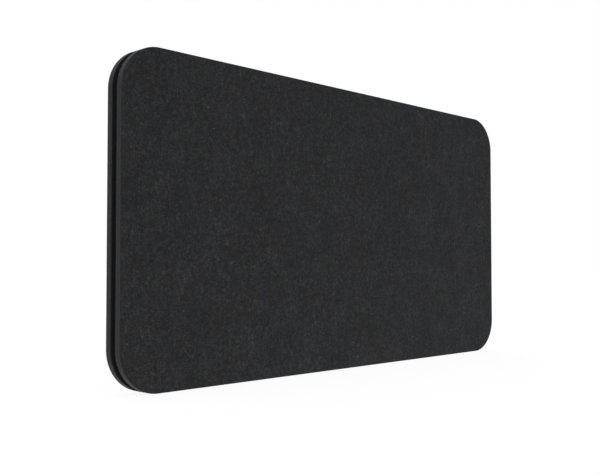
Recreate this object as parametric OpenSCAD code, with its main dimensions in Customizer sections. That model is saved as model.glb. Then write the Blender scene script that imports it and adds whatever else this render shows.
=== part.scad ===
// Acoustic divider screen: two felt boards bonded to a slim grooved metal frame.
// The origin is at the middle of the bottom edge; X runs along the screen, Y through it, Z up.
// The front faces -Y. Every plan below is drawn lying down, front face up, and stood up at the end.

/* [Screen] */
// Overall width of the screen
screen_w = 1000; // [800:10:1800]
// Overall height of the screen
screen_h = 520; // [340:10:900]
// Radius of the four rounded corners
corner_r = 68; // [56:1:95]

/* [Felt boards] */
// Thickness of each felt board
felt_t = 12; // [9:0.5:24]
// Radius of the softened arris round the show face
arris_r = 0.5; // [0.3:0.1:2.5]
// Distance between the two boards
board_gap = 12; // [11:0.5:18]

/* [Frame profile] */
// How far the groove's mouth is set back from the felt edge
setback = 0; // [0:0.5:5]
// Depth of the outer groove, from its mouth to its floor
groove_depth = 18; // [12:0.5:20]
// Depth of the closed chamber behind the groove
chamber_depth = 12; // [9:0.5:15]
// Wall of the frame profile and of the mullions
wall = 1.5; // [1.2:0.1:2]

/* [Corner pieces] */
// Length of each spigot that plugs into a rail
spigot_len = 36; // [24:1:40]
// Clearance on each side of a spigot, plug or nut bar in its chamber
chamber_fit = 0.1; // [0.05:0.05:0.3]
// Open joint between two butted frame pieces
seam = 0.2; // [0.1:0.1:0.6]
// Depth of the pockets moulded into the back of a corner piece
pocket_depth = 7; // [4:0.5:8]
// Thickness of the ribs between those pockets
pocket_rib = 1.6; // [1.2:0.1:2.4]

/* [Mullions] */
// Width of each upright mullion
mullion_w = 24; // [18:1:40]
// Length of the plug in each end of a mullion
plug_len = 26; // [23:1:40]

/* [Screws] */
// Shank diameter of the frame screws
screw_d = 4; // [3:0.5:4.5]
// Height of a screw head
head_h = 2.2; // [1.6:0.1:3]
// Gap between a screw head and each side of the groove
head_side_gap = 0.5; // [0.3:0.1:1]
// Width across the flats of the hexagon socket
socket_af = 2.5; // [2:0.1:3]
// Length of a mullion screw inside its plug
plug_bite = 19.8; // [14:0.1:21]

/* [Bracket fixing] */
// Distance between the two bolts of one desk bracket
bolt_pitch = 50; // [30:1:60]
// Tapping diameter of the threaded holes in the nut bars
bolt_tap_d = 4.2; // [3.3:0.1:5]
// Diameter of the clearance holes through the groove's floor
bolt_clear_d = 5.5; // [4.5:0.1:6.5]
// Length of a nut bar beyond each of its holes
nut_bar_end = 10; // [8:1:14]

/* [Bonding tape] */
// Thickness of the double-sided tape
tape_t = 0.5; // [0.3:0.1:1]
// Margin from the tape to the edges and ends of the frame piece under it
tape_margin = 4; // [1:0.5:7]

/* [Acoustic infill] */
// Gap between an infill batt and everything round it
infill_gap = 0.3; // [0.1:0.1:0.6]

/* [Hidden] */
$fn = 96;

// Overrun of every cut past the face that it opens
cut_over = 1;
// Radial gap between a screw shank and the hole it threads into
thread_gap = 0.05;
// Radial gap between a screw shank and a hole it passes through
shank_gap = 0.2;
// Gap between a corner screw's tip and the back of the chamber
tip_gap = 1.5;
// Depth of the hexagon socket as a share of the head's height
socket_depth_share = 0.6;
// Share of the head's height that is straight before it tapers, and the top's share of its width
head_straight_share = 0.55;
head_top_share = 0.78;
// Length of a screw's tapered tip, and the width it tapers to, as shares of the shank's diameter
tip_len_share = 0.4;
tip_end_share = 0.5;
// How far a spigot runs on into its corner piece, as a share of its own length
spigot_root_share = 0.1;
// Number of pockets in the back of each corner piece
pocket_count = 4;

// Frame profile, measured outwards from the centre of a corner's arc
profile_w = board_gap - 2 * tape_t;
groove_w = profile_w - 2 * wall;
profile_depth = groove_depth + wall + chamber_depth + wall;
r_mouth = corner_r - setback;
r_floor = r_mouth - groove_depth;
r_chamber_out = r_floor - wall;
r_chamber_in = r_chamber_out - chamber_depth;
r_inner = r_mouth - profile_depth;

// Runs between the corners, and the frame's inner edges measured from the screen's own edges
run_w = screen_w - 2 * corner_r;
run_h = screen_h - 2 * corner_r;
frame_edge = setback + profile_depth;
inner_w = screen_w - 2 * frame_edge;
inner_h = screen_h - 2 * frame_edge;

// Three equal bays between the stiles and two mullions
bay_count = 3;
bay_w = (inner_w - (bay_count - 1) * mullion_w) / bay_count;
mullion_x = (bay_w + mullion_w) / 2;
mullion_edge = mullion_x + mullion_w / 2;
mullion_len = inner_h - 2 * seam;
// The desk brackets sit midway between a mullion and the tip of the nearest spigot
bracket_x = (mullion_edge + run_w / 2 - spigot_len) / 2;

// Screws
head_d = groove_w - 2 * head_side_gap;
corner_screw_len = wall + chamber_depth - tip_gap;
mullion_screw_len = wall + chamber_depth + wall + seam + plug_bite;
spigot_hole = spigot_len / 2;
spigot_depth = chamber_depth - 2 * chamber_fit;
spigot_w = groove_w - 2 * chamber_fit;

// Quarter turns that carry the top rail to each side, and the top right corner to each corner
SIDE_TURNS = [["top", 0], ["left", 90], ["bottom", 180], ["right", 270]];
CORNER_TURNS = [["top_right", 0], ["top_left", 90], ["bottom_left", 180], ["bottom_right", 270]];
function turn_of(table, name) = [for (row = table) if (row[0] == name) row[1]][0];
function side_run(side) = (side == "top" || side == "bottom") ? run_w : run_h;

// Stands a plan drawn in X and Y up on its bottom edge, with its +Z side facing the front
module stood_up() {
    rotate([90, 0, 0]) children();
}

// Moves to the middle of a side: +Y outwards from the line through the corner centres, X along the side
module at_side(side) {
    across = (side == "top" || side == "bottom") ? run_h : run_w;
    translate([0, screen_h / 2, 0])
        rotate([0, 0, turn_of(SIDE_TURNS, side)])
            translate([0, across / 2, 0]) children();
}

// Moves to the centre of a corner's arc, which then runs from +X round to +Y
module at_corner(corner) {
    turn = turn_of(CORNER_TURNS, corner);
    flip_x = (corner == "top_left" || corner == "bottom_left") ? -1 : 1;
    flip_y = (corner == "bottom_left" || corner == "bottom_right") ? -1 : 1;
    translate([flip_x * run_w / 2, screen_h / 2 + flip_y * run_h / 2, 0])
        rotate([0, 0, turn]) children();
}

// Turns a section, drawn outwards along X, so that it is extruded along the side by its full length
module along_side(length) {
    rotate([90, 0, 90])
        translate([0, 0, -length / 2])
            linear_extrude(length) children();
}

// Rectangle with four round corners, in plan, centred on the screen
module round_plan(w, h, r) {
    translate([0, screen_h / 2]) {
        square([w - 2 * r, h], center = true);
        square([w, h - 2 * r], center = true);
        for (sx = [-1, 1])
            for (sy = [-1, 1])
                translate([sx * (w / 2 - r), sy * (h / 2 - r)]) circle(r);
    }
}

// Half section of a felt board: inner face on the X axis, show face at felt_t, arris softened
module board_section() {
    square([corner_r - arris_r, felt_t]);
    square([corner_r, felt_t - arris_r]);
    translate([corner_r - arris_r, felt_t - arris_r]) circle(arris_r);
}

// One felt board, inner face at Z 0 and show face up
module felt_board() {
    translate([-run_w / 2, corner_r, 0]) cube([run_w, run_h, felt_t]);
    for (row = SIDE_TURNS)
        at_side(row[0]) along_side(side_run(row[0])) board_section();
    for (row = CORNER_TURNS)
        at_corner(row[0]) rotate_extrude(angle = 90) board_section();
}

module front_felt_board() {
    color("#2c2d2f")
        stood_up()
            translate([0, 0, board_gap / 2]) felt_board();
}

module rear_felt_board() {
    color("#2c2d2f")
        stood_up()
            mirror([0, 0, 1])
                translate([0, 0, board_gap / 2]) felt_board();
}

// Section of the frame profile: an open groove outside, a closed chamber behind it
module profile_section(chamber = true) {
    difference() {
        translate([r_inner, -profile_w / 2]) square([profile_depth, profile_w]);
        translate([r_floor, -groove_w / 2]) square([groove_depth + cut_over, groove_w]);
        if (chamber)
            translate([r_chamber_in, -groove_w / 2]) square([chamber_depth, groove_w]);
    }
}

// Hole along +Y at a place along a side, from one radius out to another
module side_hole(x, from_r, to_r, d) {
    translate([x, from_r, 0])
        rotate([-90, 0, 0]) cylinder(h = to_r - from_r, d = d);
}

// A length of profile on one side, drilled for its corner screws
module rail_body(side) {
    length = side_run(side) - 2 * seam;
    difference() {
        along_side(length) profile_section();
        for (end = [-1, 1])
            side_hole(end * (side_run(side) / 2 - spigot_hole), r_chamber_out - cut_over,
                r_floor + cut_over, screw_d + 2 * shank_gap);
    }
}

// The clearance holes of the two mullion screws through a rail's floor and back wall
module mullion_holes() {
    for (sx = [-1, 1])
        side_hole(sx * mullion_x, r_inner - cut_over, r_floor + cut_over, screw_d + 2 * shank_gap);
}

module top_rail() {
    color("#141414")
        stood_up()
            at_side("top")
                difference() {
                    rail_body("top");
                    mullion_holes();
                }
}

module bottom_rail() {
    color("#141414")
        stood_up()
            at_side("bottom")
                difference() {
                    rail_body("bottom");
                    mullion_holes();
                    for (sx = [-1, 1])
                        for (bolt = [-1, 1])
                            side_hole(sx * bracket_x + bolt * bolt_pitch / 2, r_chamber_out - cut_over,
                                r_floor + cut_over, bolt_clear_d);
                }
}

module left_stile() {
    color("#141414") stood_up() at_side("left") rail_body("left");
}

module right_stile() {
    color("#141414") stood_up() at_side("right") rail_body("right");
}

// One spigot, running down from the X axis, with the pilot hole of its screw
module spigot() {
    root = spigot_len * spigot_root_share;
    difference() {
        translate([r_chamber_in + chamber_fit, -spigot_len, -spigot_w / 2])
            cube([spigot_depth, spigot_len + root, spigot_w]);
        translate([r_chamber_in, -spigot_hole, 0])
            rotate([0, 90, 0]) cylinder(h = chamber_depth, d = screw_d + 2 * thread_gap);
    }
}

// The pockets that lighten a corner piece, cored out from its inner curve
module corner_pockets() {
    pitch = 90 / pocket_count;
    depth_r = r_inner + wall + pocket_depth;
    rib_angle = 2 * asin(pocket_rib / 2 / r_inner);
    for (pocket = [0 : pocket_count - 1])
        rotate([0, 0, pocket * pitch + rib_angle / 2])
            rotate_extrude(angle = pitch - rib_angle)
                translate([r_inner - cut_over, -groove_w / 2])
                    square([depth_r - r_inner + cut_over, groove_w]);
}

// A moulded corner: the grooved profile carried round the arc, with a spigot at each end
module corner_piece(corner) {
    color("#181818")
        stood_up()
            at_corner(corner) {
                difference() {
                    rotate_extrude(angle = 90) profile_section(chamber = false);
                    corner_pockets();
                }
                spigot();
                mirror([1, -1, 0]) spigot();
            }
}

module corner_top_right() { corner_piece("top_right"); }
module corner_top_left() { corner_piece("top_left"); }
module corner_bottom_left() { corner_piece("bottom_left"); }
module corner_bottom_right() { corner_piece("bottom_right"); }

// A socket head screw lying along Y: the head stands on the groove's floor and the shank points inwards
module frame_screw(length) {
    tip = screw_d * tip_len_share;
    straight_h = head_h * head_straight_share;
    translate([0, r_floor, 0])
        rotate([-90, 0, 0])
            difference() {
                union() {
                    cylinder(h = straight_h, d = head_d);
                    translate([0, 0, straight_h])
                        cylinder(h = head_h - straight_h, d1 = head_d, d2 = head_d * head_top_share);
                    translate([0, 0, tip - length]) cylinder(h = length - tip, d = screw_d);
                    translate([0, 0, -length]) cylinder(h = tip, d1 = screw_d * tip_end_share, d2 = screw_d);
                }
                translate([0, 0, head_h * (1 - socket_depth_share)])
                    cylinder(h = head_h, d = socket_af / cos(30), $fn = 6);
            }
}

module corner_screws() {
    color("#3a3a3c")
        stood_up()
            for (row = SIDE_TURNS)
                at_side(row[0])
                    for (end = [-1, 1])
                        translate([end * (side_run(row[0]) / 2 - spigot_hole), 0, 0])
                            frame_screw(corner_screw_len);
}

// An upright rectangular tube between the bottom and top rails
module mullion_body() {
    translate([0, frame_edge + seam, 0])
        rotate([-90, 0, 0])
            linear_extrude(mullion_len)
                difference() {
                    square([mullion_w, profile_w], center = true);
                    square([mullion_w - 2 * wall, profile_w - 2 * wall], center = true);
                }
}

module mullion_left() {
    color("#8d8f92") stood_up() translate([-mullion_x, 0, 0]) mullion_body();
}

module mullion_right() {
    color("#8d8f92") stood_up() translate([mullion_x, 0, 0]) mullion_body();
}

// A moulded plug standing at Y 0, bored blind for its screw
module mullion_plug() {
    plug_w = mullion_w - 2 * wall - 2 * chamber_fit;
    difference() {
        translate([-plug_w / 2, 0, -spigot_w / 2]) cube([plug_w, plug_len, spigot_w]);
        translate([0, -cut_over, 0])
            rotate([-90, 0, 0])
                cylinder(h = cut_over + plug_bite + thread_gap, d = screw_d + 2 * thread_gap);
    }
}

// Puts a piece at both ends of both mullions, pointing inwards from the frame's inner edge
module at_mullion_ends() {
    for (sx = [-1, 1])
        translate([sx * mullion_x, screen_h / 2, 0])
            for (turn = [0, 180])
                rotate([0, 0, turn]) translate([0, -inner_h / 2, 0]) children();
}

module mullion_plugs() {
    color("#222224")
        stood_up()
            at_mullion_ends() translate([0, seam, 0]) mullion_plug();
}

module mullion_screws() {
    color("#3a3a3c")
        stood_up()
            for (side = ["top", "bottom"])
                at_side(side)
                    for (sx = [-1, 1])
                        translate([sx * mullion_x, 0, 0]) frame_screw(mullion_screw_len);
}

// A tapped bar lying in the bottom rail's chamber behind a pair of bracket holes
module nut_bar(sx) {
    bar_len = bolt_pitch + 2 * nut_bar_end;
    color("#9a9ca0")
        stood_up()
            at_side("bottom")
                translate([-sx * bracket_x, r_chamber_in + chamber_fit, 0])
                    difference() {
                        translate([-bar_len / 2, 0, -spigot_w / 2])
                            cube([bar_len, spigot_depth, spigot_w]);
                        for (bolt = [-1, 1])
                            translate([bolt * bolt_pitch / 2, -cut_over, 0])
                                rotate([-90, 0, 0])
                                    cylinder(h = spigot_depth + 2 * cut_over, d = bolt_tap_d);
                    }
}

module nut_bar_left() { nut_bar(-1); }
module nut_bar_right() { nut_bar(1); }

// One fibre batt filling a bay of the frame, from one X to another
module infill_batt(from_x, to_x) {
    batt_t = board_gap - 2 * infill_gap;
    color("#6f7275")
        stood_up()
            translate([0, 0, -batt_t / 2])
                linear_extrude(batt_t)
                    intersection() {
                        round_plan(inner_w - 2 * infill_gap, inner_h - 2 * infill_gap, r_inner - infill_gap);
                        translate([from_x, 0]) square([to_x - from_x, screen_h]);
                    }
}

module infill_left() { infill_batt(-screen_w / 2, -mullion_edge - infill_gap); }
module infill_centre() { infill_batt(infill_gap - bay_w / 2, bay_w / 2 - infill_gap); }
module infill_right() { infill_batt(mullion_edge + infill_gap, screen_w / 2); }

// The strips of tape that bond one board to the rails, stiles and mullions, drawn on the front
module tape_strips() {
    translate([0, 0, profile_w / 2]) {
        for (row = SIDE_TURNS) {
            length = side_run(row[0]) - 2 * seam - 2 * tape_margin;
            at_side(row[0])
                translate([-length / 2, r_inner + tape_margin, 0])
                    cube([length, profile_depth - 2 * tape_margin, tape_t]);
        }
        for (sx = [-1, 1])
            translate([sx * mullion_x - mullion_w / 2 + tape_margin, frame_edge + seam + tape_margin, 0])
                cube([mullion_w - 2 * tape_margin, mullion_len - 2 * tape_margin, tape_t]);
    }
}

module front_tape() {
    color("#d8d8d4") stood_up() tape_strips();
}

module rear_tape() {
    color("#d8d8d4") stood_up() mirror([0, 0, 1]) tape_strips();
}

front_felt_board();
rear_felt_board();
top_rail();
bottom_rail();
left_stile();
right_stile();
corner_top_right();
corner_top_left();
corner_bottom_left();
corner_bottom_right();
corner_screws();
mullion_left();
mullion_right();
mullion_plugs();
mullion_screws();
nut_bar_left();
nut_bar_right();
infill_left();
infill_centre();
infill_right();
front_tape();
rear_tape();
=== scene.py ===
"""Dresses the acoustic divider screen and lights it as the photograph shows it.

Metres, in the CAD model's frame: X along the screen, Y through it with the front at -Y, Z up from the
bottom edge. The felt boards and the infill batts are surfaces worked out on grids of two parameters, the
screws are profiles turned round an axis, and the frame's CAD nodes keep their shape and get procedural
finishes.
"""
import logging
import math
from dataclasses import dataclass
from enum import Enum

import bpy
import numpy as np
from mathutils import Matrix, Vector


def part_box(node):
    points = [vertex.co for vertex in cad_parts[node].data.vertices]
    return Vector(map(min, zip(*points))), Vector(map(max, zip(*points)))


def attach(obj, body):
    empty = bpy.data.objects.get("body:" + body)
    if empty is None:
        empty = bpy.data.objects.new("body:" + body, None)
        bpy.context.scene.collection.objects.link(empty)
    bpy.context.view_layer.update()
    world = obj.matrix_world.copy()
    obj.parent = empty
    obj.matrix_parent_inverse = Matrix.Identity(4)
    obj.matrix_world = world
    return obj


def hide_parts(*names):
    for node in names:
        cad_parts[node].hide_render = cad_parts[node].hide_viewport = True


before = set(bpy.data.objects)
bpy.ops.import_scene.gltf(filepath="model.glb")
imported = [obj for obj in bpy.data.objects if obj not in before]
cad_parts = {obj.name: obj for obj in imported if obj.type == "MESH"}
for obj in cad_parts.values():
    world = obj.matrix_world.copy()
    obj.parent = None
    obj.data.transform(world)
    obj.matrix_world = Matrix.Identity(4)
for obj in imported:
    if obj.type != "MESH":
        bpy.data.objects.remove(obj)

LOG = logging.getLogger("divider_screen")
BODY = "root"
MM = 0.001
Span = tuple[float, float]
Triple = tuple[float, float, float]
Array = np.ndarray
Socket = bpy.types.NodeSocket
Material = bpy.types.Material


class Facing(Enum):
    """Which way a board's show face looks along Y."""

    FRONT = -1
    REAR = 1


class Grain(Enum):
    """The die lines of a drawn length, per metre along X, Y and Z: few along its axis and many across it."""

    ALONG_X = (3.0, 1800.0, 1800.0)
    ALONG_Z = (1800.0, 1800.0, 3.0)


class Lattice:
    """Seeded smooth noise: random numbers on the corners of unit squares, blended between them."""

    SIZE = 256

    def __init__(self, seed: int) -> None:
        """Draws the corner numbers that belong to a seed."""
        self.table = np.random.default_rng(seed).uniform(-1.0, 1.0, (self.SIZE, self.SIZE))

    def at(self, u: Array, v: Array, wrap_u: int = SIZE) -> Array:
        """Noise at places in lattice squares.

        Between corners the weight is f * f * (3 - 2 f), where f is the place within the square.

        Args:
            u: First coordinates, in squares.
            v: Second coordinates, in squares.
            wrap_u: Number of squares after which the pattern repeats along u.

        Returns:
            Values from -1 to 1, shaped as u and v broadcast together.
        """
        u, v = np.broadcast_arrays(u, v)
        iu, iv = np.floor(u).astype(int), np.floor(v).astype(int)
        fu, fv = u - iu, v - iv
        fu, fv = fu * fu * (3.0 - 2.0 * fu), fv * fv * (3.0 - 2.0 * fv)
        u0, u1 = iu % wrap_u % self.SIZE, (iu + 1) % wrap_u % self.SIZE
        v0, v1 = iv % self.SIZE, (iv + 1) % self.SIZE
        low = self.table[u0, v0] * (1.0 - fu) + self.table[u1, v0] * fu
        high = self.table[u0, v1] * (1.0 - fu) + self.table[u1, v1] * fu
        return low * (1.0 - fv) + high * fv


class Draft:
    """Vertices, faces, texture places and finish numbers, gathered before they become one mesh."""

    def __init__(self) -> None:
        """Starts empty."""
        self.points: list[Array] = []
        self.blocks: list[tuple[Array, Array, int]] = []

    def add_points(self, points: Array) -> Array:
        """Adds vertices.

        Args:
            points: Array whose last axis is x, y, z.

        Returns:
            The vertex numbers, shaped as the array without its last axis.
        """
        start = sum(len(added) for added in self.points)
        self.points.append(points.reshape(-1, 3))
        return start + np.arange(len(self.points[-1])).reshape(points.shape[:-1])

    def _add_faces(self, faces: Array, places: Array, finish: int, flip: bool) -> None:
        """Adds faces, a row of vertex numbers and of texture places for each, turned round by a flip."""
        way = -1 if flip else 1
        self.blocks.append((faces[:, ::way], places[:, ::way], finish))

    def add_grid(self, numbers: Array, places: Array, finish: int = 0, flip: bool = False) -> None:
        """Adds the quads of a grid: corner (r, c), then (r + 1, c), (r + 1, c + 1) and (r, c + 1).

        Args:
            numbers: Vertex numbers, rows by columns.
            places: Texture places of the same grid.
            finish: Number of the material slot.
            flip: Whether the corners' order is turned round.
        """
        def quads(a: Array) -> Array:
            """The four corners of each cell, next to each other."""
            return np.stack([a[:-1, :-1], a[1:, :-1], a[1:, 1:], a[:-1, 1:]], axis=2)

        self._add_faces(quads(numbers).reshape(-1, 4), quads(places).reshape(-1, 4, 2), finish, flip)

    def add_fan(self, centre: Array, centre_uv: Array, ring: Array, ring_uv: Array, flip: bool) -> None:
        """Closes a ring of vertices with triangles from a middle point.

        Args:
            centre: The middle point.
            centre_uv: Its texture place.
            ring: Vertex numbers, the first once more at the end.
            ring_uv: Texture places of the ring.
            flip: Whether the corners' order is turned round.
        """
        hub = np.full(len(ring) - 1, self.add_points(centre[None])[0])
        hub_uv = np.broadcast_to(centre_uv, (len(hub), 2))
        self._add_faces(np.stack([hub, ring[:-1], ring[1:]], axis=1),
                        np.stack([hub_uv, ring_uv[:-1], ring_uv[1:]], axis=1), 0, flip)

    def build(self, name: str, materials: list[Material], sharp_deg: float = 40.0) -> bpy.types.Object:
        """Makes the mesh and its object, smooth except at edges sharper than an angle.

        Args:
            name: Name of the piece.
            materials: Its material slots, in order.
            sharp_deg: Angle between two faces above which their edge is sharp.

        Returns:
            The object, at the origin, linked to the scene.
        """
        mesh = bpy.data.meshes.new(name)
        points = np.concatenate(self.points).astype(np.float32)
        loops = np.concatenate([faces.ravel() for faces, _, _ in self.blocks]).astype(np.int32)
        sizes = np.concatenate([np.full(len(faces), faces.shape[1]) for faces, _, _ in self.blocks])
        places = np.concatenate([uv.reshape(-1, 2) for _, uv, _ in self.blocks]).astype(np.float32)
        finishes = np.concatenate([np.full(len(faces), number) for faces, _, number in self.blocks])
        mesh.vertices.add(len(points))
        mesh.vertices.foreach_set("co", points.ravel())
        mesh.loops.add(len(loops))
        mesh.loops.foreach_set("vertex_index", loops)
        mesh.polygons.add(len(sizes))
        starts = np.concatenate([[0], np.cumsum(sizes)[:-1]])
        mesh.polygons.foreach_set("loop_start", starts.astype(np.int32))
        mesh.polygons.foreach_set("material_index", finishes.astype(np.int32))
        mesh.uv_layers.new(name="surface").data.foreach_set("uv", places.ravel())
        mesh.update(calc_edges=True)
        mesh.validate()
        mesh.shade_smooth()
        mesh.set_sharp_from_angle(angle=math.radians(sharp_deg))
        for material in materials:
            mesh.materials.append(material)
        piece = bpy.data.objects.new(name, mesh)
        bpy.context.scene.collection.objects.link(piece)
        LOG.info("%s: %d vertices, %d faces", name, len(points), len(sizes))
        return piece


@dataclass(frozen=True, kw_only=True)
class Pattern:
    """How far a pattern shows: its share in the brightness, and its depth, of which a strength is seen."""

    share: float = 0.0
    depth: float = 0.0
    strength: float = 0.5


@dataclass(frozen=True)
class Layer(Pattern):
    """Noise of one feature per unit, with units per metre along each axis.

    The detail is its number of finer layers, and the roughness how strong each is beside the one before. The
    distortion pulls it about, and a ridged one has thin ridges in place of soft hills.
    """

    per_metre: Triple = (1.0, 1.0, 1.0)
    detail: float = 2.0
    roughness: float = 0.5
    distortion: float = 0.0
    ridged: bool = False
    source: str = "Object"


@dataclass(frozen=True)
class Fibres(Pattern):
    """Short fibres that lie across each other in a plane of constant Y, the palest on top.

    A fibre bends by up to its curl, in waves whose length is a share of its own, and shows where its noise
    goes from the first edge to the second.
    """

    length: float = 4.5 * MM
    width: float = 0.32 * MM
    curl: float = 0.35 * MM
    wave: float = 0.7
    turns_deg: tuple[float, ...] = (6.0, 51.0, 94.0, 139.0)
    edges: Span = (0.46, 0.82)


Drawn = tuple[Socket, Pattern]


class Graph:
    """The nodes of a material or a world, with a short call for each kind that is used here."""

    NOISE_SWING = 0.25

    def __init__(self, owner: Material | bpy.types.World, shader: str, **constants: object) -> None:
        """Turns the owner's nodes on.

        Args:
            owner: The material or the world.
            shader: Name of its shader's node.
            constants: Inputs of the shader that are the same all over, for shade().
        """
        owner.use_nodes = True
        self.owner, self.tree = owner, owner.node_tree
        self.shader = self.tree.nodes[shader]
        self.shade(**constants)

    @classmethod
    def of_material(cls, name: str, **constants: object) -> "Graph":
        """The nodes of a new material with a Principled shader."""
        return cls(bpy.data.materials.new(name), "Principled BSDF", **constants)

    def put(self, node: bpy.types.Node, inputs: dict[int | str, object]) -> None:
        """Gives a node its inputs.

        Args:
            node: The node.
            inputs: An output to link or a value to set, by each input's number or name.
        """
        for socket, value in inputs.items():
            if isinstance(value, Socket):
                self.tree.links.new(value, node.inputs[socket])
            else:
                node.inputs[socket].default_value = value

    def shade(self, **inputs: object) -> None:
        """Links or sets inputs of the shader; an underscore in a name stands for a space."""
        self.put(self.shader, {name.replace("_", " "): value for name, value in inputs.items()})

    def node(self, kind: str, inputs: dict[int | str, object], **options: object) -> bpy.types.Node:
        """Adds a node.

        Args:
            kind: Its type, without the word ShaderNode.
            inputs: Its inputs, as in put().
            options: Its own settings.

        Returns:
            The node.
        """
        node = self.tree.nodes.new(f"ShaderNode{kind}")
        for name, value in options.items():
            setattr(node, name, value)
        self.put(node, inputs)
        return node

    def place(self, per_metre: Triple = (1.0, 1.0, 1.0), source: str = "Object") -> Socket:
        """Object or UV coordinates, multiplied by pattern units per metre along each axis."""
        coordinates = self.node("TexCoord", {}).outputs[source]
        return self.node("Mapping", {"Vector": coordinates, "Scale": per_metre}).outputs["Vector"]

    def plain_noise(self, place: Socket) -> bpy.types.Node:
        """Noise without finer layers."""
        return self.node("TexNoise", {"Vector": place, "Scale": 1.0, "Detail": 0.0})

    def noise(self, layer: Layer) -> Socket:
        """A layer's noise, a value near 0.5."""
        inputs = {"Vector": self.place(layer.per_metre, layer.source), "Scale": 1.0, "Detail": layer.detail,
                  "Roughness": layer.roughness, "Distortion": layer.distortion}
        return self.node("TexNoise", inputs,
                         noise_type="RIDGED_MULTIFRACTAL" if layer.ridged else "FBM").outputs["Fac"]

    def drawn(self, *layers: Layer) -> list[Drawn]:
        """Each layer's noise with the layer itself."""
        return [(self.noise(layer), layer) for layer in layers]

    def strokes(self, fibres: Fibres) -> Drawn:
        """Fibres that cross each other.

        The place is shifted by noise times the curl over the noise's own swing. There each direction has
        noise drawn out to a fibre's length along it, and the largest shows.

        Args:
            fibres: The fibres.

        Returns:
            A value from 0 to 1, near 0.5 on the whole, with the fibres themselves.
        """
        shift = self.plain_noise(self.place((1.0 / (fibres.wave * fibres.length),) * 3))
        inputs = {0: shift.outputs["Color"], 1: (fibres.curl / self.NOISE_SWING,) * 3, 2: self.place()}
        curled = self.node("VectorMath", inputs, operation="MULTIPLY_ADD").outputs[0]
        size = (fibres.length, fibres.length, fibres.width)
        top: object = 0.0
        for turn in fibres.turns_deg:
            inputs = {"Vector": curled, "Rotation": (0.0, math.radians(turn), 0.0), "Scale": size}
            turned = self.node("Mapping", inputs, vector_type="TEXTURE").outputs["Vector"]
            top = self.step("MAXIMUM", top, self.plain_noise(turned).outputs["Fac"])
        return self.level(top, fibres.edges), fibres

    def step(self, operation: str, a: object, b: object) -> Socket:
        """One step of arithmetic on two values."""
        return self.node("Math", {0: a, 1: b}, operation=operation).outputs[0]

    def level(self, value: Socket, given: Span, wanted: tuple[object, object] = (0.0, 1.0)) -> Socket:
        """Maps one span of numbers onto another, in a straight line that stops at both ends."""
        inputs = dict(zip(("Value", "From Min", "From Max", "To Min", "To Max"), (value, *given, *wanted)))
        return self.node("MapRange", inputs).outputs["Result"]

    def swing(self, patterns: list[Drawn], contrast: float = 1.0) -> Socket:
        """0.5 plus the sum of each pattern's distance from 0.5 times its share.

        Args:
            patterns: The patterns.
            contrast: Factor on all the shares.

        Returns:
            The sum.
        """
        total: object = 0.5
        for value, pattern in patterns:
            away = self.step("SUBTRACT", value, 0.5)
            total = self.step("ADD", total, self.step("MULTIPLY", away, pattern.share * contrast))
        return total

    def arched(self, value: Socket, amount: float) -> Socket:
        """The value plus an amount times the square of its distance from 0.5: pale parts stand out."""
        away = self.step("SUBTRACT", value, 0.5)
        return self.step("ADD", value, self.step("MULTIPLY", self.step("MULTIPLY", away, away), amount))

    def mix(self, factor: object, a: object, b: object, blend: str = "MIX") -> Socket:
        """Mixes two colours, which are the node's inputs 6 and 7 and its output 2."""
        return self.node("Mix", {0: factor, 6: a, 7: b}, data_type="RGBA", blend_type=blend).outputs[2]

    def bump(self, drawn: Drawn, under: Socket | None = None) -> Socket:
        """A normal from a pattern, laid over the normal of a coarser one where that is given."""
        inputs = {"Strength": drawn[1].strength, "Distance": drawn[1].depth, "Height": drawn[0]}
        return self.node("Bump", inputs if under is None else {**inputs, "Normal": under}).outputs["Normal"]

    def white(self, light: float | Socket, seen: float) -> Socket:
        """Strength of the studio's white, which is seen directly, in a mirror and through glass.

        Args:
            light: Strength where it only gives light.
            seen: Strength where it is seen.

        Returns:
            The strength.
        """
        path = self.node("LightPath", {}).outputs
        plain = self.step("MAXIMUM", path["Is Camera Ray"], path["Is Glossy Ray"])
        any_ray = self.step("MAXIMUM", plain, path["Is Transmission Ray"])
        return self.level(any_ray, (0.0, 1.0), (light, seen))


def rgba(colour: Triple, gain: float = 1.0) -> tuple[float, ...]:
    """A linear colour, brightened by a gain, with full alpha."""
    return (*(part * gain for part in colour), 1.0)


@dataclass(frozen=True)
class Tint:
    """A factor on the felt's colour: low up to the first edge of its drift, and high from the second."""

    drift: Layer
    edges: Span
    low: Triple
    high: Triple


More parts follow.
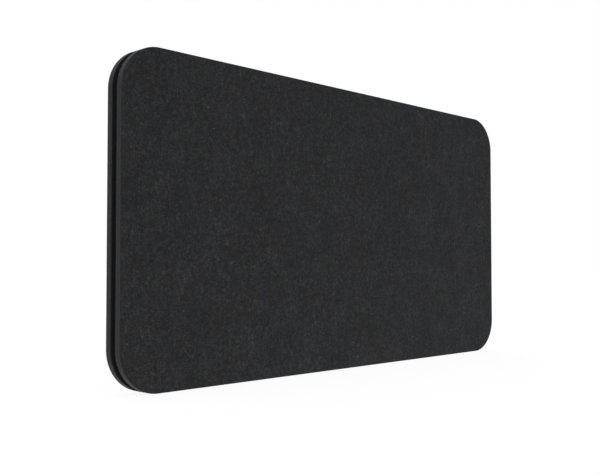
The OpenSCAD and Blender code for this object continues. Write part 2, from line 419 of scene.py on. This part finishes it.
@dataclass(frozen=True)
class FeltFinish:
    """Pressed polyester felt: dark fibres with lighter ones pressed among them.

    The sheen is the light that standing fibre ends send back at a glancing angle; a cut edge has more of
    them. A fleck shows where its noise passes its edges, and more so on a fibre.
    """

    pile: Triple = (0.0223, 0.0221, 0.0224)
    brightest: float = 2.5
    contrast: float = 0.88
    slate: Tint = Tint(Layer((44.0, 44.0, 40.0), detail=0.7), (0.42, 0.58), (0.993, 0.991, 0.990),
                       (0.963, 0.982, 1.108))
    mossy: Tint = Tint(Layer((50.0, 42.0, 38.0), detail=0.6), (0.47, 0.66), (1.0, 1.0, 1.0),
                       (0.980, 1.046, 0.980))
    broad: Layer = Layer((22.0, 22.0, 20.0), roughness=0.8, share=0.34)
    grain: Layer = Layer((150.0, 150.0, 145.0), detail=3.0, roughness=1.0, share=1.50, depth=0.25 * MM)
    streak: Layer = Layer((210.0, 210.0, 24.0), detail=1.5, roughness=0.6, share=0.25)
    fibres: Fibres = Fibres(share=0.75, depth=0.10 * MM)
    fleck: Layer = Layer((290.0, 290.0, 250.0), detail=1.0, distortion=0.8, share=0.50)
    fleck_edges: Span = (0.62, 0.85)
    fleck_on_fibre: Span = (0.2, 1.9)
    face_arch: float = 1.6
    plies: Layer = Layer((90.0, 900.0, 1.0), roughness=0.6, distortion=0.6, source="UV", share=0.35,
                         depth=0.15 * MM)
    clumps: Layer = Layer((180.0,) * 3, roughness=0.7, share=0.8, depth=0.2 * MM)
    ends: Layer = Layer((1500.0,) * 3, detail=1.0, roughness=0.7, share=1.1, depth=0.15 * MM, strength=0.6)
    edge_arch: float = 2.0
    edge_gain: float = 0.89
    face_sheen: float = 0.022
    edge_sheen: float = 0.15
    specular: float = 0.055
    roughness: float = 0.92

    def _graph(self, name: str, sheen: float) -> Graph:
        """A material with the constants that the face and the cut edge share."""
        return Graph.of_material(name, Roughness=self.roughness, Specular_IOR_Level=self.specular,
                                 Sheen_Weight=sheen)

    def _colour(self, graph: Graph, value: Socket, gain: float = 1.0) -> Socket:
        """The pile's colour times twice the value, with slate and mossy fibres here and there.

        Args:
            graph: Where the nodes go.
            value: Brightness, near 0.5 and up to the brightest.
            gain: Factor on the whole.

        Returns:
            The colour.
        """
        pale = rgba(self.pile, 2.0 * self.brightest * gain)
        colour = graph.mix(graph.level(value, (0.0, self.brightest)), rgba(self.pile, 0.0), pale)
        for tint in (self.slate, self.mossy):
            share = graph.level(graph.noise(tint.drift), tint.edges)
            factor = graph.mix(share, rgba(tint.low), rgba(tint.high))
            colour = graph.mix(1.0, colour, factor, "MULTIPLY")
        return colour

    def face(self) -> Material:
        """The show face: broad mottling, grain, faint upright streaks, and pale fibres lying in it.

        Returns:
            The material.
        """
        graph = self._graph("felt_face", self.face_sheen)
        broad, grain, streak = graph.drawn(self.broad, self.grain, self.streak)
        fibres = graph.strokes(self.fibres)
        value = graph.swing([broad, grain, streak, fibres], self.contrast)
        pale = (0.0, self.fleck.share * self.contrast)
        fleck = graph.level(graph.noise(self.fleck), self.fleck_edges, pale)
        broken = graph.step("MULTIPLY", fleck, graph.level(fibres[0], (0.0, 1.0), self.fleck_on_fibre))
        lifted = graph.arched(graph.step("ADD", value, broken), self.face_arch)
        graph.shade(Base_Color=self._colour(graph, lifted), Normal=graph.bump(fibres, graph.bump(grain)))
        return graph.owner

    def cut_edge(self) -> Material:
        """The sawn edge: thin plies of fibre running along it, read from the surface's own map.

        Returns:
            The material.
        """
        graph = self._graph("felt_cut_edge", self.edge_sheen)
        plies, clumps, ends = graph.drawn(self.plies, self.clumps, self.ends)
        value = graph.arched(graph.swing([plies, clumps, ends], self.contrast), self.edge_arch)
        sawn = graph.bump(ends, graph.bump(plies, graph.bump(clumps)))
        graph.shade(Base_Color=self._colour(graph, value, self.edge_gain), Normal=sawn)
        return graph.owner


@dataclass(frozen=True, kw_only=True)
class LayeredFinish:
    """A finish whose colour goes from a dark gain to a light one by the swing of its layers.

    A layer with a depth stands up from the surface. The roughness is even, or goes from its first number to
    its second as one layer, or else the swing of all, goes through its middle.
    """

    MIDDLE = (0.3, 0.7)

    name: str
    colour: Triple
    gains: Span
    layers: tuple[Layer, ...]
    rough: Span
    rough_by: int | None = None
    metallic: float = 0.0
    specular: float = 0.5
    sheen: float = 0.0

    def material(self) -> Material:
        """Swings the colour, and then adds the roughness and the height.

        Returns:
            The material.
        """
        graph = Graph.of_material(self.name, Metallic=self.metallic, Specular_IOR_Level=self.specular,
                                  Sheen_Weight=self.sheen, Roughness=self.rough[0])
        drawn = graph.drawn(*self.layers)
        value = graph.swing(drawn)
        dark, light = (rgba(self.colour, gain) for gain in self.gains)
        graph.shade(Base_Color=graph.mix(value, dark, light))
        if self.rough[0] != self.rough[1]:
            guide = value if self.rough_by is None else drawn[self.rough_by][0]
            graph.shade(Roughness=graph.level(guide, self.MIDDLE, self.rough))
        for pattern in drawn:
            if pattern[1].depth > 0.0:
                graph.shade(Normal=graph.bump(pattern))
        return graph.owner


@dataclass(frozen=True, kw_only=True)
class AnodisedFinish(LayeredFinish):
    """Matte black anodised extrusion: faint die lines along its length, and a coat that clouds a little."""

    CLOUD = Layer((45.0,) * 3, detail=3.0, roughness=0.6, share=0.5)

    colour: Triple = (0.0120, 0.0122, 0.0127)
    gains: Span = (0.4, 1.6)
    rough: Span = (0.74, 0.86)
    rough_by: int = 1
    specular: float = 0.02

    @classmethod
    def along(cls, grain: Grain) -> "AnodisedFinish":
        """The finish of a length drawn along one axis."""
        lines = Layer(grain.value, detail=3.0, roughness=0.6, share=0.5, depth=0.02 * MM, strength=0.4)
        return cls(name=f"black_anodised_{grain.name.lower()}", layers=(lines, cls.CLOUD))


@dataclass(frozen=True, kw_only=True)
class NylonFinish(LayeredFinish):
    """Black moulded nylon: a spark-eroded grain about a millimetre across, over slow flow clouds."""

    name: str = "black_nylon"
    colour: Triple = (0.0120, 0.0120, 0.0124)
    gains: Span = (0.5, 1.5)
    layers: tuple[Layer, ...] = (
        Layer((1300.0,) * 3, detail=1.0, share=0.4, depth=0.04 * MM),
        Layer((70.0,) * 3, distortion=0.8, share=0.4))
    rough: Span = (0.73, 0.83)
    rough_by: int = 1
    specular: float = 0.02


@dataclass(frozen=True, kw_only=True)
class MetalFinish(LayeredFinish):
    """Bare or coated metal: colour and roughness follow the same lines, and slow stains lie over them."""

    STAIN = Layer((55.0,) * 3, detail=3.0, roughness=0.6, share=0.6)

    gains: Span = (0.75, 1.25)
    metallic: float = 1.0

    @classmethod
    def lined(cls, name: str, colour: Triple, rough: Span, per_metre: Triple) -> "MetalFinish":
        """The finish of one metal, with a number of lines per metre along each axis."""
        lines = Layer(per_metre, detail=3.0, roughness=0.65, share=0.6, depth=0.015 * MM, strength=0.4)
        return cls(name=name, colour=colour, rough=rough, layers=(lines, cls.STAIN))


@dataclass(frozen=True, kw_only=True)
class BattFinish(LayeredFinish):
    """Loose grey fibre of the acoustic infill: ridged noise pulled about, over soft clumps."""

    name: str = "fibre_infill"
    colour: Triple = (0.16, 0.165, 0.17)
    gains: Span = (0.4, 1.6)
    layers: tuple[Layer, ...] = (
        Layer((90.0,) * 3, detail=3.0, roughness=0.7, share=1.0),
        Layer((320.0,) * 3, distortion=2.2, ridged=True, share=0.25, depth=0.5 * MM, strength=0.6))
    rough: Span = (0.95, 0.95)
    specular: float = 0.1
    sheen: float = 0.1


@dataclass(frozen=True, kw_only=True)
class TapeFinish(LayeredFinish):
    """The off-white liner side of a double-sided tape: a smooth film with faint cloudy glue behind it."""

    name: str = "bonding_tape"
    colour: Triple = (0.65, 0.65, 0.62)
    gains: Span = (0.85, 1.1)
    layers: tuple[Layer, ...] = (
        Layer((140.0,) * 3, detail=3.0, roughness=0.6, share=1.0, depth=0.05 * MM, strength=0.4),)
    rough: Span = (0.35, 0.5)
    specular: float = 0.4


@dataclass(frozen=True, kw_only=True)
class Cut:
    """How a slab's edges and surfaces are worn, and the steps of its grid.

    The relief is the depth of the face's pressed surface, and the wear that of the cut edge's layers.
    """

    arris: float
    back_arris: float
    relief: float
    wear: float
    corner_steps: int
    middle_steps: int
    columns: int
    edge_rings: int
    arris_steps: int


@dataclass(frozen=True)
class Plan:
    """A standing rectangle in X and Z whose left and right corners have their own radius."""

    left: float
    right: float
    bottom: float
    top: float
    left_radius: float
    right_radius: float

    def inset(self, by: float) -> "Plan":
        """The same outline moved in by a distance on every side."""
        return Plan(self.left + by, self.right - by, self.bottom + by, self.top - by,
                    self.left_radius - by, self.right_radius - by)

    def rows(self, cut: Cut) -> Array:
        """Heights of the grid's rows, from the top down.

        In the corner zones a row lies at each equal step of angle round the larger corner, and the rows
        between the zones are evenly spaced.

        Args:
            cut: The grid's steps.

        Returns:
            Heights.
        """
        radius = max(self.left_radius, self.right_radius)
        drop = radius * (1.0 - np.cos(np.linspace(0.0, math.pi / 2.0, cut.corner_steps + 1)))
        upper, lower = self.top - drop, (self.bottom + drop)[::-1]
        middle = np.linspace(upper[-1], lower[0], cut.middle_steps + 1)
        return np.concatenate([upper, middle[1:-1], lower])

    def side(self, z: Array, way: float) -> tuple[Array, Array]:
        """One side of the outline: its X at each height, with the outward normals there.

        On an arc whose height is the share s of the radius, X is the radius times 1 - sqrt(1 - s * s) inside
        the straight side, and the normal is sqrt(1 - s * s) sideways and s upwards.

        Args:
            z: Heights.
            way: -1 for the left side, 1 for the right.

        Returns:
            The places along X, and the normals, each an X and a Z.
        """
        end, radius = (self.left, self.left_radius) if way < 0.0 else (self.right, self.right_radius)
        over, under = z - (self.top - radius), z - (self.bottom + radius)
        rise = np.clip(np.where(over > 0.0, over, np.minimum(under, 0.0)) / radius, -1.0, 1.0)
        across = np.sqrt(1.0 - rise ** 2)
        return end - way * radius * (1.0 - across), np.stack([way * across, rise], axis=-1)


@dataclass
class Slab:
    """A flat board or batt: a face grid, a rounded arris, a cut edge, a second arris and a flat back.

    Each of its face's SWELLS is a share of the relief, its sizes along X and Z, and its start in squares.
    The relief fades in over FADE. The layers of wear on the cut edge are WEAR_LENGTH long, WEAR_PLY thick.
    """

    SWELLS = ((0.5, 0.045, 0.060, 0.0, 0.0), (0.3, 0.018, 0.022, 31.0, 7.0), (0.2, 0.007, 0.008, 73.0, 19.0))
    FADE = 0.008
    WEAR_LENGTH = 0.012
    WEAR_PLY = 0.0009

    plan: Plan
    face_y: float
    back_y: float
    cut: Cut
    seed: int

    @property
    def thickness(self) -> float:
        """Distance from the face to the back."""
        return abs(self.back_y - self.face_y)

    @property
    def inward(self) -> float:
        """Direction along Y from the face to the back."""
        return 1.0 if self.back_y > self.face_y else -1.0

    def face_points(self) -> tuple[Array, Array]:
        """The face inside the arris, and the outward normals of its outline.

        A point is left(z) + share * (right(z) - left(z)) along X, at each row's height z. It lies behind the
        face plane by a sum of swells, from 0 to the relief, times f * f * (3 - 2 f), where f is its distance
        from the outline over FADE.

        Returns:
            Points by row and column, and the rim's normals in X and Z in the order that rim() gives.
        """
        plan, at = self.plan.inset(self.cut.arris), Lattice(self.seed).at
        rows = plan.rows(self.cut)
        (left, left_normal), (right, right_normal) = plan.side(rows, -1.0), plan.side(rows, 1.0)
        x = left[:, None] + np.linspace(0.0, 1.0, self.cut.columns + 1) * (right - left)[:, None]
        z = np.broadcast_to(rows[:, None], x.shape)
        swell = sum(share * at(x / wide + u, z / tall + v) for share, wide, tall, u, v in self.SWELLS)
        edge = np.minimum(np.minimum(x - x[:, :1], x[:, -1:] - x), np.minimum(plan.top - z, z - plan.bottom))
        fade = np.clip(edge / self.FADE, 0.0, 1.0)
        relief = self.cut.relief * (0.5 + 0.5 * swell) * fade * fade * (3.0 - 2.0 * fade)
        flat = np.zeros((self.cut.columns - 1, 2))
        up, down = flat + [0.0, 1.0], flat + [0.0, -1.0]
        normals = np.concatenate([left_normal[:1], up, right_normal, down, left_normal[:0:-1]])
        return np.stack([x, self.face_y + self.inward * relief, z], axis=-1), normals

    @staticmethod
    def rim(grid: Array) -> Array:
        """A grid's border: along the top to the right, down, back along the bottom, and up the left."""
        return np.concatenate([grid[0], grid[1:, -1], grid[-1, -2::-1], grid[-2:0:-1, 0]])

    def rings(self, rim: Array, normals: Array) -> tuple[Array, Array]:
        """The rings of the arrises and the cut edge, each the rim moved out along its normals.

        The arris is a quarter circle: out by arris * sin(t) and back by arris * (1 - cos(t)). The back's
        arris is the same turned round, in half as many steps, and the rings between are evenly spaced. The
        cut edge is worn in by layers of noise, which fade within two arrises of the face and the back.

        Args:
            rim: Points of the face's border.
            normals: Their outward normals, in X and Z.

        Returns:
            Points by ring and place, and texture places: distance along the edge, and depth.
        """
        arris, back_arris = self.cut.arris, self.cut.back_arris
        t = np.linspace(0.0, math.pi / 2.0, self.cut.arris_steps + 1)[1:]
        t_back = np.linspace(0.0, math.pi / 2.0, self.cut.arris_steps // 2 + 1)
        flat = np.linspace(arris, self.thickness - back_arris, self.cut.edge_rings + 1)[1:-1]
        out = np.concatenate([arris * np.sin(t), np.full(len(flat), arris),
                              arris - back_arris * (1.0 - np.cos(t_back))])
        depth = np.concatenate([arris * (1.0 - np.cos(t)), flat,
                                self.thickness - back_arris * (1.0 - np.sin(t_back))])
        closed = np.vstack([rim, rim[:1]])
        steps = np.hypot(np.diff(closed[:, 0]), np.diff(closed[:, 2]))
        along = np.concatenate([[0.0], np.cumsum(steps)])
        cells = min(Lattice.SIZE, round(along[-1] / self.WEAR_LENGTH))
        place = along[:-1] / along[-1] * cells
        wear = Lattice(self.seed + 1).at(place, depth[:, None] / self.WEAR_PLY, cells)
        straight = np.clip(np.minimum(depth, self.thickness - depth) / (2.0 * arris), 0.0, 1.0)
        reach = out[:, None] - self.cut.wear * (0.5 + 0.5 * wear) * straight[:, None]
        x = rim[:, 0] + reach * normals[:, 0]
        z = rim[:, 2] + reach * normals[:, 1]
        y = np.broadcast_to(self.face_y + self.inward * depth[:, None], x.shape)
        uv = np.stack(np.broadcast_arrays(along, depth[:, None]), axis=-1)
        return np.stack([x, y, z], axis=-1), uv

    def build(self, name: str, face: Material, edge: Material) -> bpy.types.Object:
        """Builds the closed slab, whose back is a fan.

        Args:
            name: Name of the piece.
            face: Material of the face and the back.
            edge: Material of the arrises and the cut edge.

        Returns:
            The piece.
        """
        draft, plan = Draft(), self.plan
        flip = self.inward < 0.0
        points, normals = self.face_points()
        numbers = draft.add_points(points)
        draft.add_grid(numbers, points[..., [0, 2]], 0, flip)
        rings, uv = self.rings(self.rim(points), normals)
        ring_numbers = np.vstack([self.rim(numbers), draft.add_points(rings)])
        ring_uv = np.concatenate([uv[:1] * [1.0, 0.0], uv])
        wrapped = np.hstack([ring_numbers, ring_numbers[:, :1]])
        draft.add_grid(wrapped, ring_uv, 1, not flip)
        centre = np.array([(plan.left + plan.right) / 2.0, self.back_y, (plan.bottom + plan.top) / 2.0])
        last = np.vstack([rings[-1], rings[-1, :1]])
        draft.add_fan(centre, centre[[0, 2]], wrapped[-1], last[:, [0, 2]], flip)
        return draft.build(name, [face, edge])


@dataclass
class SocketScrew:
    """A socket head screw with a rolled thread, whose head stands on the groove's floor.

    The head's side and the start of its dome are shares of its height, and the bend is a share of its
    rounding. The socket is shares of the hexagon with their depths. The flank is the thread's steepness, and
    the neck is bare of it. The point is a share of the diameter long and ends at that share of the radius.
    """

    length: float
    head_d: float = 7.0 * MM
    head_h: float = 2.2 * MM
    head_round: float = 0.25 * MM
    bend: float = 0.3
    head_side: float = 0.6
    dome_start: float = 0.62
    dome_steps: int = 6
    socket_af: float = 2.5 * MM
    socket_lip: float = 0.08 * MM
    socket: tuple[Span, ...] = ((1.0, 0.08 * MM), (1.0, 1.3 * MM), (0.75, 1.36 * MM), (0.3, 1.5 * MM))
    shank_d: float = 4.0 * MM
    pitch: float = 1.4 * MM
    thread_depth: float = 0.35 * MM
    flank: float = 2.2
    neck: float = 0.6 * MM
    point: float = 0.45
    round_steps: int = 36
    steps_per_pitch: int = 6

    @property
    def angles(self) -> Array:
        """Equal steps of one turn."""
        return np.linspace(0.0, 2.0 * math.pi, self.round_steps, endpoint=False)

    def _turned(self, radius: Array, height: Array) -> Array:
        """Points round the axis: x is radius * cos(angle), y is radius * sin(angle), z is the height."""
        radius, height, angle = np.broadcast_arrays(radius, height, self.angles)
        return np.stack([radius * np.cos(angle), radius * np.sin(angle), height], axis=-1)

    def head(self) -> Array:
        """The head and its socket, from the underside round the dome and down to the socket's floor.

        The dome rises as a sine. The hexagon's radius is half the width across flats over the cosine of the
        angle from the nearest flat's middle.

        Returns:
            Points by row and angle.
        """
        r, h, soft = self.head_d / 2.0, self.head_h, self.head_round
        bend = self.bend * soft
        rim = self.socket_af / math.sqrt(3.0) + soft
        dome = np.linspace(0.0, 1.0, self.dome_steps + 1)[1:]
        dome_h = h * self.dome_start + h * (1.0 - self.dome_start) * np.sin(dome * math.pi / 2.0)
        radius = np.concatenate([[self.shank_d / 2.0, r - soft, r - bend, r, r], r - (r - rim) * dome])
        height = np.concatenate([[0.0, 0.0, bend, soft, h * self.head_side], dome_h])
        outer = self._turned(radius[:, None], height[:, None])
        from_flat = np.mod(self.angles, math.pi / 3.0) - math.pi / 6.0
        hexagon = self.socket_af / 2.0 / np.cos(from_flat)
        socket_r = np.stack([hexagon + self.socket_lip, *(hexagon * share for share, _ in self.socket)])
        socket_h = np.array([h, *(h - depth for _, depth in self.socket)])
        return np.concatenate([outer, self._turned(socket_r, socket_h[:, None])])

    def shank(self) -> Array:
        """The threaded shank, from under the head to its point.

        Its radius is the crest less the thread's depth times the distance from the nearest crest, where the
        crests climb one pitch each turn, and it tapers over the point, where the thread runs out.

        Returns:
            Points by row and angle.
        """
        rows = round(self.length / self.pitch * self.steps_per_pitch)
        depth = np.linspace(0.0, self.length, rows + 1)[:, None]
        angle = np.linspace(0.0, 1.0, self.round_steps, endpoint=False)
        turns = np.mod(depth / self.pitch + angle, 1.0)
        from_crest = np.minimum(1.0, self.flank * np.abs(turns - 0.5))
        plain = np.clip((depth - self.neck) / self.pitch, 0.0, 1.0)
        taper = np.clip((self.length - depth) / (self.point * self.shank_d), 0.0, 1.0)
        radius = self.shank_d / 2.0 - self.thread_depth * from_crest * plain * np.minimum(1.0, taper * 2.0)
        return self._turned(radius * (self.point + (1.0 - self.point) * taper), -depth)

    def add_to(self, draft: Draft, seat: Array, outwards: Array) -> None:
        """Adds the screw to a draft, closed by a fan at each end.

        Args:
            draft: Where its faces go.
            seat: Middle of the head's underside.
            outwards: Unit direction from the shank to the head.
        """
        side = np.array([0.0, 1.0, 0.0])
        basis = np.stack([np.cross(side, outwards), side, outwards])
        rows = np.concatenate([self.shank()[::-1], self.head()[1:]]) @ basis + seat
        numbers = draft.add_points(rows)
        wrapped = np.hstack([numbers, numbers[:, :1]])
        turn = np.linspace(0.0, 1.0, self.round_steps + 1) * math.pi * self.shank_d
        run = np.linspace(0.0, self.length + self.head_h, len(rows))
        uv = np.stack(np.broadcast_arrays(turn, run[:, None]), axis=-1)
        draft.add_grid(wrapped, uv, 0, flip=True)
        for row, flip in ((0, True), (-1, False)):
            draft.add_fan(rows[row].mean(axis=0), np.zeros(2), wrapped[row], uv[row], flip)


@dataclass(frozen=True)
class ScreenSizes:
    """The sizes that the dressed pieces share, read from the frame where its boxes give them."""

    width: float
    height: float
    thickness: float
    board: float
    corner_radius: float
    mullion_x: float
    groove_floor: float = 18.0 * MM
    spigot_hole: float = 18.0 * MM
    seam: float = 0.2 * MM

    @classmethod
    def from_frame(cls) -> "ScreenSizes":
        """Reads the boards, the top rail and a mullion; a rail's run ends where the corners' arcs begin.

        Returns:
            The sizes.
        """
        low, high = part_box("front_felt_board")
        rail_low, rail_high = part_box("top_rail")
        _, rear_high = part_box("rear_felt_board")
        mullion_low, mullion_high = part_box("mullion_right")
        return cls(width=high.x - low.x, height=high.z - low.z, thickness=rear_high.y - low.y,
                   board=high.y - low.y, mullion_x=(mullion_low.x + mullion_high.x) / 2.0,
                   corner_radius=(high.x - low.x - (rail_high.x - rail_low.x)) / 2.0 - cls.seam)


@dataclass
class FeltBoards:
    """The front and the rear felt board."""

    sizes: ScreenSizes
    finish: FeltFinish = FeltFinish()
    cut: Cut = Cut(arris=0.5 * MM, back_arris=1.3 * MM, relief=0.12 * MM, wear=0.10 * MM, corner_steps=32,
                   middle_steps=136, columns=380, edge_rings=8, arris_steps=6)
    seed: int = 11

    def build(self) -> None:
        """Builds both boards, each in the place of its CAD node."""
        s = self.sizes
        face, edge = self.finish.face(), self.finish.cut_edge()
        plan = Plan(-s.width / 2.0, s.width / 2.0, 0.0, s.height, s.corner_radius, s.corner_radius)
        for facing, name in ((Facing.FRONT, "front_felt"), (Facing.REAR, "rear_felt")):
            face_y = facing.value * s.thickness / 2.0
            slab = Slab(plan, face_y, face_y - facing.value * s.board, self.cut, self.seed + facing.value)
            piece = slab.build(name, face, edge)
            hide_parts(f"{name}_board")
            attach(piece, BODY)


@dataclass
class Infill:
    """The three fibre batts in the bays of the frame, each rounded where its bay is and square elsewhere."""

    finish: BattFinish = BattFinish()
    corner_radius: float = 34.7 * MM
    square: float = 2.0 * MM
    cut: Cut = Cut(arris=1.6 * MM, back_arris=1.6 * MM, relief=0.8 * MM, wear=0.3 * MM, corner_steps=8,
                   middle_steps=60, columns=60, edge_rings=6, arris_steps=4)
    seed: int = 40
    nodes: tuple[str, ...] = ("infill_left", "infill_centre", "infill_right")

    def build(self) -> None:
        """Builds each batt in its CAD node's box, its edges torn soft rather than cut."""
        material = self.finish.material()
        for number, node in enumerate(self.nodes):
            low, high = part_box(node)
            left, right = (self.corner_radius if node == f"infill_{side}" else self.square
                           for side in ("left", "right"))
            plan = Plan(low.x, high.x, low.z, high.z, left, right)
            slab = Slab(plan, low.y, high.y, self.cut, self.seed + number)
            piece = slab.build(f"{node}_batt", material, material)
            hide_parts(node)
            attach(piece, BODY)


@dataclass
class Screws:
    """The frame's screws: eight in the corner pieces' spigots and four in the mullions' plugs.

    The SIDES are the top, bottom, left and right, each an axis and a way along it; 2 - axis runs along them.
    """

    SIDES = ((2, 1.0), (2, -1.0), (0, -1.0), (0, 1.0))

    sizes: ScreenSizes
    finish: MetalFinish = MetalFinish.lined(
        "black_oxide_steel", (0.03, 0.03, 0.032), (0.33, 0.57), (600.0,) * 3)
    corner_length: float = 12.0 * MM
    mullion_length: float = 35.0 * MM
    sharp_deg: float = 50.0

    def _set(self, node: str, material: Material, length: float, offsets: dict[int, float]) -> None:
        """Builds one joined set of screws in the place of its CAD node, two on each of its sides.

        Args:
            node: The CAD node.
            material: The screws' material.
            length: Length of a shank.
            offsets: How far a screw is from the middle of its side, by the axis that it points along.
        """
        draft = Draft()
        size, axes = np.array([self.sizes.width, 0.0, self.sizes.height]), np.eye(3)
        for axis, way in self.SIDES:
            for place in (-offsets[axis], offsets[axis]) if axis in offsets else ():
                outwards = way * axes[axis]
                seat = axes[2] * size[2] / 2.0 + outwards * (size[axis] / 2.0 - self.sizes.groove_floor)
                SocketScrew(length).add_to(draft, seat + place * axes[2 - axis], outwards)
        piece = draft.build(f"{node[:-1]}_set", [material], self.sharp_deg)
        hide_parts(node)
        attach(piece, BODY)

    def build(self) -> None:
        """Builds both sets."""
        s, material = self.sizes, self.finish.material()
        wide, tall = (side / 2.0 - s.corner_radius - s.spigot_hole for side in (s.width, s.height))
        self._set("corner_screws", material, self.corner_length, {2: wide, 0: tall})
        self._set("mullion_screws", material, self.mullion_length, {2: s.mullion_x})


@dataclass(frozen=True)
class FrameNodes:
    """The CAD nodes that keep their shape: rails, stiles, corners, mullions, plugs, nut bars and tape."""

    worn: tuple[tuple[LayeredFinish, tuple[str, ...]], ...] = (
        (AnodisedFinish.along(Grain.ALONG_X), ("top_rail", "bottom_rail")),
        (AnodisedFinish.along(Grain.ALONG_Z), ("left_stile", "right_stile")),
        (NylonFinish(), ("corner_top_left", "corner_top_right", "corner_bottom_left", "corner_bottom_right",
                         "mullion_plugs")),
        (MetalFinish.lined("mill_aluminium", (0.55, 0.56, 0.57), (0.26, 0.50), (1500.0, 1500.0, 3.0)),
         ("mullion_left", "mullion_right")),
        (MetalFinish.lined("zinc_steel", (0.5, 0.51, 0.53), (0.22, 0.46), (240.0,) * 3),
         ("nut_bar_left", "nut_bar_right")),
        (TapeFinish(), ("front_tape", "rear_tape")))

    def dress(self) -> None:
        """Gives each node its material in every slot."""
        for finish, nodes in self.worn:
            material = finish.material()
            for node in nodes:
                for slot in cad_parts[node].material_slots:
                    slot.material = material
                LOG.info("%s: %s", node, material.name)


@dataclass
class Studio:
    """Even white light, a pale floor that keeps a soft shadow, and the photograph's camera.

    The floor's glow is painted light. The light it gives is stronger near the screen, a pool of light that
    brightens the screen's lower part, though as seen the floor is evenly white. The share of its own white
    grows with the distance.
    """

    place: Triple = (-1.17661, -1.04089, 0.19149)
    azimuth_deg: float = 45.6605
    elevation_deg: float = 1.9304
    roll_deg: float = 0.0099
    lens_mm: float = 49.957
    sensor_mm: float = 36.0
    clip: Span = (0.01, 200.0)
    background: float = 1.0
    sky: Span = (0.35, 1.00)
    floor_half: float = 30.0
    floor_lines: int = 9
    floor_grey: Triple = (0.95, 0.95, 0.95)
    floor_near: Span = (0.2, 1.4)
    floor_light: Span = (0.78, 0.38)
    floor_fade: Span = (0.8, 2.4)
    floor_glow: Span = (0.85, 1.0)
    floor_white: float = 1.05
    key_from: Triple = (-0.616, -0.788, 0.12)
    lamp_angle_deg: float = 36.0
    key_share: float = 0.55
    fill_share: float = 0.46

    def world(self) -> None:
        """A white sky, a little stronger overhead, which is also the background."""
        graph = Graph(bpy.data.worlds.new("white_sky"), "Background")
        direction = graph.node("TexCoord", {}).outputs["Generated"]
        upwards = graph.node("SeparateXYZ", {0: direction}).outputs["Z"]
        light = graph.level(upwards, (0.0, 1.0), self.sky)
        graph.shade(Color=(1.0, 1.0, 1.0, 1.0), Strength=graph.white(light, self.background))
        bpy.context.scene.world = graph.owner

    def lamp(self, name: str, direction: Triple, share: float) -> None:
        """A large soft light far away.

        Args:
            name: Name of the lamp.
            direction: From the screen towards the lamp.
            share: Its light on a surface that faces it, as a share of a white sky's.
        """
        lamp = bpy.data.lights.new(name, "SUN")
        lamp.angle = math.radians(self.lamp_angle_deg)
        lamp.energy = share * math.pi
        holder = bpy.data.objects.new(name, lamp)
        holder.rotation_euler = Vector(direction).to_track_quat("Z", "Y").to_euler()
        bpy.context.scene.collection.objects.link(holder)

    def floor(self) -> None:
        """A flat sheet under the screen: mostly its own glow, painted light that is stronger near the
        screen, so that only a faint shadow lies on it.
        """
        graph = Graph.of_material("pale_floor", Base_Color=rgba(self.floor_grey), Roughness=1.0,
                                  Specular_IOR_Level=0.0)
        away = graph.node("VectorMath", {0: graph.place()}, operation="LENGTH").outputs["Value"]
        # painted light: the glow that lights the screen is stronger near it, a pool of light on the floor
        light = graph.level(away, self.floor_near, self.floor_light)
        glow = graph.node("Emission", {"Strength": graph.white(light, self.floor_white)}).outputs[0]
        share = graph.level(away, self.floor_fade, self.floor_glow)
        sheet = graph.node("MixShader", {0: share, 1: graph.shader.outputs[0], 2: glow}).outputs[0]
        graph.put(graph.tree.nodes["Material Output"], {"Surface": sheet})
        line = np.linspace(-self.floor_half, self.floor_half, self.floor_lines)
        x, y = np.meshgrid(line, line[::-1])
        draft = Draft()
        numbers = draft.add_points(np.stack([x, y, np.zeros_like(x)], axis=-1))
        draft.add_grid(numbers, np.stack([x, y], axis=-1))
        draft.build("pale_floor", [graph.owner])

    def camera(self) -> None:
        """The camera fitted to the photograph's outline: forward is (sin a cos e, cos a cos e, sin e)."""
        camera = bpy.data.cameras.new("photograph")
        camera.lens, camera.sensor_width, camera.sensor_fit = self.lens_mm, self.sensor_mm, "HORIZONTAL"
        camera.clip_start, camera.clip_end = self.clip
        view = bpy.data.objects.new("photograph", camera)
        view.location = self.place
        view.rotation_euler = (math.radians(90.0 + self.elevation_deg), math.radians(self.roll_deg),
                               -math.radians(self.azimuth_deg))
        bpy.context.scene.collection.objects.link(view)
        bpy.context.scene.camera = view

    def build(self) -> None:
        """Sets up the whole studio; the fill comes from the side opposite the key."""
        bpy.context.scene.view_settings.view_transform = "Standard"
        self.world()
        self.lamp("soft_key", self.key_from, self.key_share)
        x, y, z = self.key_from
        self.lamp("soft_fill", (-x, -y, z), self.fill_share)
        self.floor()
        self.camera()


def main() -> None:
    """Builds the dressed screen and its studio."""
    logging.basicConfig(level=logging.INFO, format="%(name)s %(message)s")
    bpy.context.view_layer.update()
    sizes = ScreenSizes.from_frame()
    LOG.info("sizes: %s", sizes)
    FeltBoards(sizes).build()
    Infill().build()
    Screws(sizes).build()
    FrameNodes().dress()
    Studio().build()


if __name__ == "__main__":
    main()
